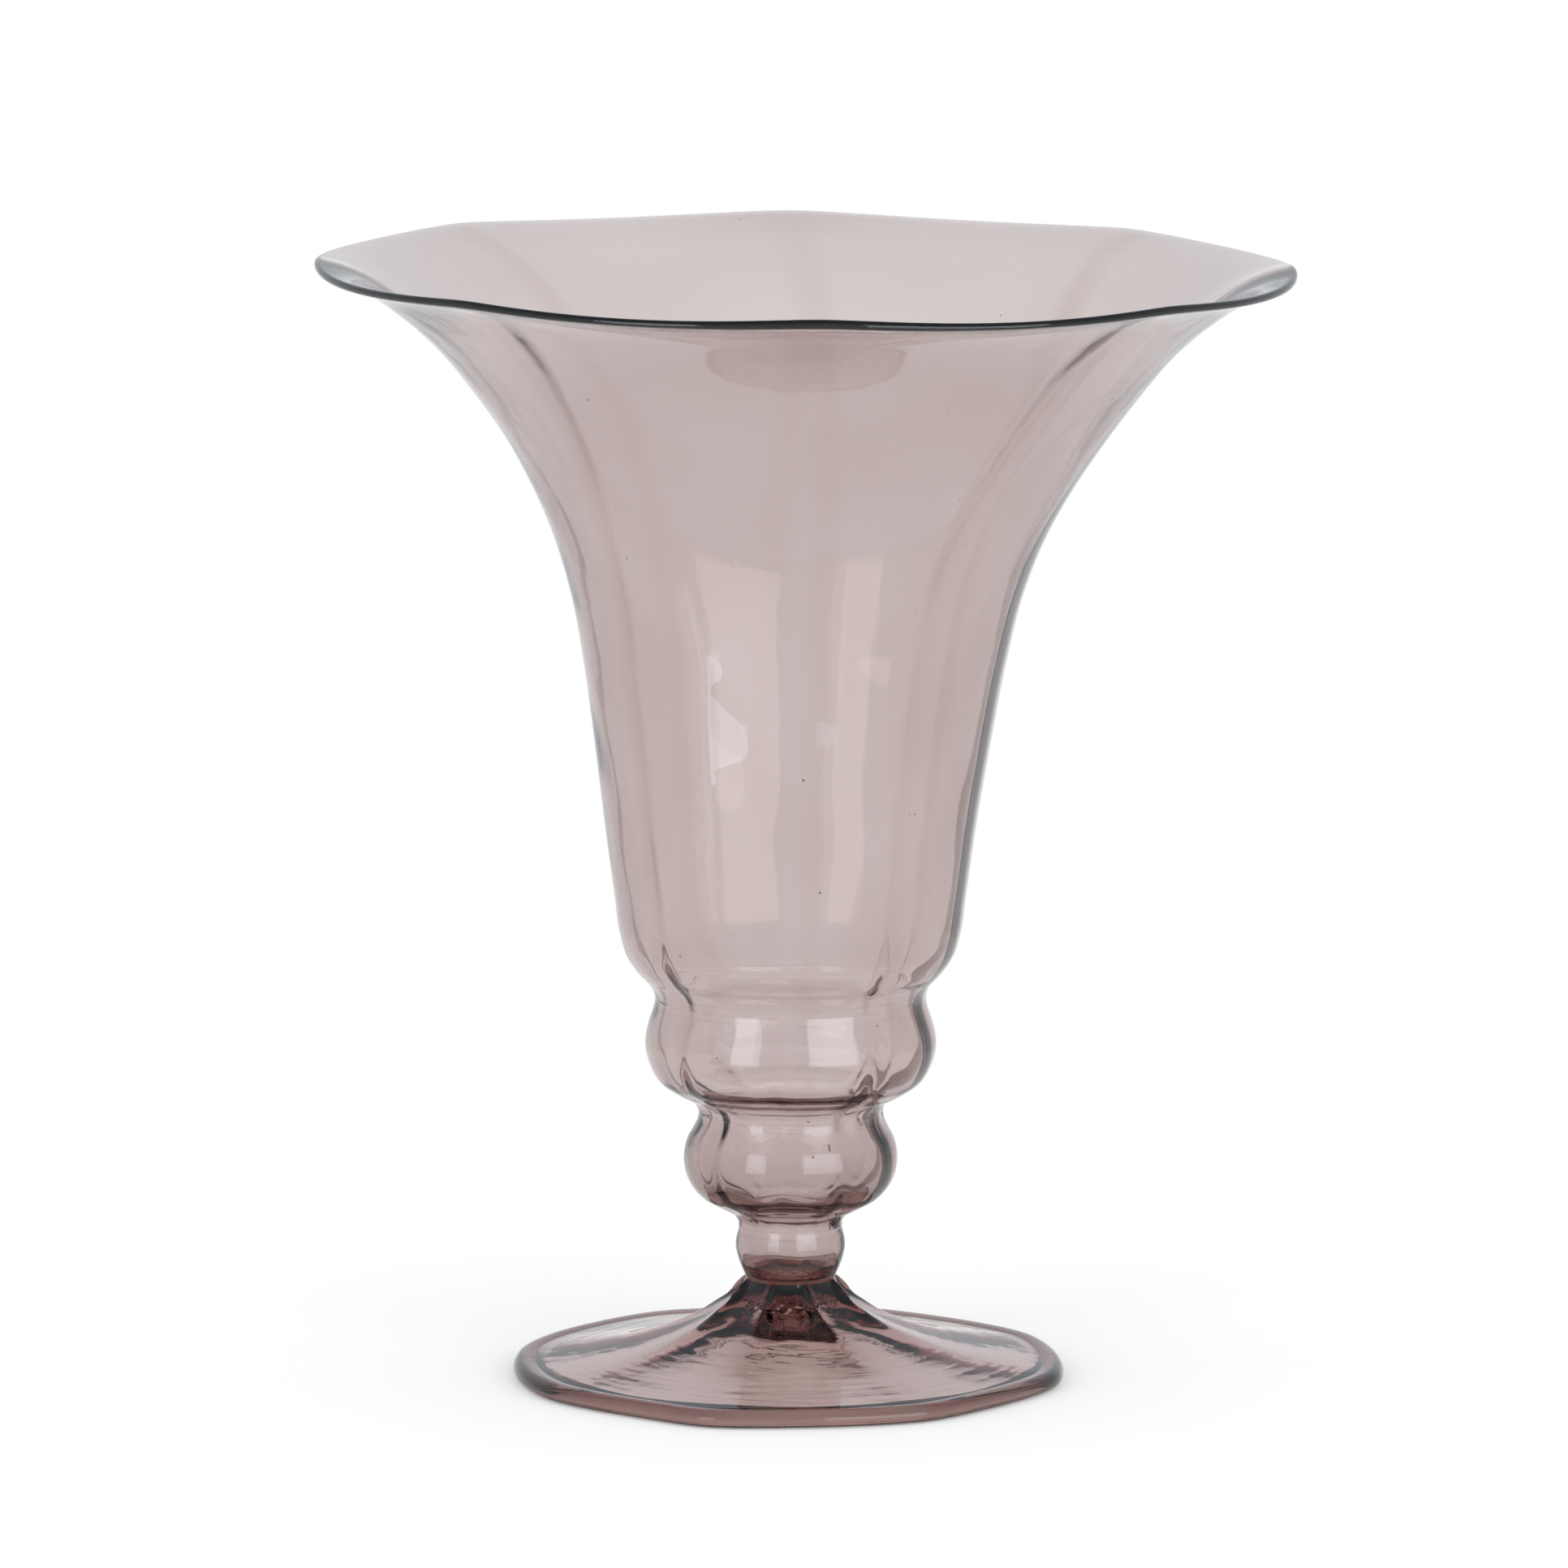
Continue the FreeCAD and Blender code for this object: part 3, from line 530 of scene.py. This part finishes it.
# Painted pool of light: the board glows warm under the foot, where the vase's glass would gather light on it,
# and where the foot hides it from above.
place = add(tree, "ShaderNodeTexCoord").outputs["Object"]
off_stem = add(tree, "ShaderNodeVectorMath", {"operation": "DISTANCE"}, _0=place, _1=(STEM_X * MM, 0, 0))
painted_light_pool = add(tree, "ShaderNodeMapRange", {"interpolation_type": "SMOOTHSTEP"},
           Value=off_stem.outputs["Value"], From_Min=58 * MM, From_Max=70 * MM, To_Min=0.24, To_Max=0)
painted_light_pool = add(tree, "ShaderNodeMath", {"operation": "MULTIPLY"}, _0=painted_light_pool.outputs[0], _1=seen)
painted_warm_glow = add(tree, "ShaderNodeEmission", Color=linear("ffe6de"), Strength=painted_light_pool.outputs[0])
both = add(tree, "ShaderNodeAddShader", _0=both.outputs[0], _1=painted_warm_glow.outputs[0])
add(tree, "ShaderNodeOutputMaterial", Surface=both.outputs[0])
mesh = bpy.data.meshes.new("floor")
edge = np.radians(around(128))
mesh.from_pydata([(BOARD_RADIUS * math.cos(a), BOARD_RADIUS * math.sin(a), -BOARD_LOW) for a in edge],
                 [], [tuple(range(len(edge)))])
mesh.materials.append(board)
floor = bpy.data.objects.new("floor", mesh)
bpy.context.collection.objects.link(floor)

room = bpy.data.worlds.new("room")
room.use_nodes = True
scene.world = room
tree = room.node_tree
tree.nodes.clear()
seen, path = seen_rays(tree)
way = add(tree, "ShaderNodeTexCoord").outputs["Generated"]
height = add(tree, "ShaderNodeSeparateXYZ", Vector=way).outputs["Z"]
rise = add(tree, "ShaderNodeMapRange", Value=height, From_Min=-1, From_Max=1)
# Brightness by the sine of the height over the horizon: of what the glass mirrors, then of
# what shows through it.
domes = []
for steps in ([(0.0, "f2f4f6"), (0.10, "dde1e6"), (0.40, "ccd2da"), (0.90, "a0a5ab")],
              [(0.0, "f4f4f4"), (0.25, "f2f2f2"), (0.50, "ebebeb"), (0.90, "d8d4d2")]):
    dome = add(tree, "ShaderNodeValToRGB", Fac=rise.outputs[0])
    dome.color_ramp.interpolation = "EASE"
    while len(dome.color_ramp.elements) < len(steps):
        dome.color_ramp.elements.new(0.5)
    for element, (sine, hex_colour) in zip(dome.color_ramp.elements, steps):
        element.position = (sine + 1) / 2
        element.color = linear(hex_colour)
    domes.append(dome.outputs[0])
shade = add(tree, "ShaderNodeMix", {"data_type": "RGBA"}, Factor=path.outputs["Is Transmission Ray"],
            _6=domes[0], _7=domes[1])
shade = add(tree, "ShaderNodeMix", {"data_type": "RGBA"}, Factor=path.outputs["Is Camera Ray"],
            _6=shade.outputs[2], _7=linear("ffffff"))
# Light for the board comes evenly from the room, and less of it through the glass, so that
# the vase keeps a shadow.
onward = add(tree, "ShaderNodeMath", {"operation": "GREATER_THAN"}, _0=path.outputs["Diffuse Depth"], _1=0.5)
plain = add(tree, "ShaderNodeMix", {"data_type": "RGBA"}, Factor=path.outputs["Is Diffuse Ray"],
            _6=linear("cccccc"), _7=linear("ffffff"))
shade = add(tree, "ShaderNodeMix", {"data_type": "RGBA"}, Factor=onward.outputs[0], _6=shade.outputs[2],
            _7=plain.outputs[2])
light = add(tree, "ShaderNodeBackground", Color=shade.outputs[2], Strength=1.0)
add(tree, "ShaderNodeOutputWorld", Surface=light.outputs[0])

# Two tall soft boxes, whose cool light shows as the pair of upright windows in the bulbs.
for side, azimuth, width in (("left", -37, 0.70), ("right", 35, 1.35)):
    lamp = bpy.data.lights.new(f"{side}_window", "AREA")
    lamp.shape = "RECTANGLE"
    lamp.size = width
    lamp.size_y = WINDOW_TALL
    lamp.energy = WINDOW_GLOW * math.pi * width * lamp.size_y
    lamp.color = (0.86, 0.97, 1.0)
    box = bpy.data.objects.new(lamp.name, lamp)
    turn = math.radians(azimuth)
    box.location = (WINDOW_AWAY * math.sin(turn), -WINDOW_AWAY * math.cos(turn), WINDOW_MIDDLE)
    box.rotation_euler = (math.radians(90), 0, turn)
    box.visible_camera = False
    bpy.context.collection.objects.link(box)

# Camera: a long lens at the photograph's height, on the vase's axis.
lens = bpy.data.cameras.new("camera")
lens.sensor_width = 36
lens.lens = 299.05
lens.clip_end = 50
camera = bpy.data.objects.new("camera", lens)
camera.location = (-0.0054, -3.2, 0.6394)
camera.rotation_euler = (math.radians(90 - 8.706), 0, 0)
bpy.context.collection.objects.link(camera)
scene.camera = camera
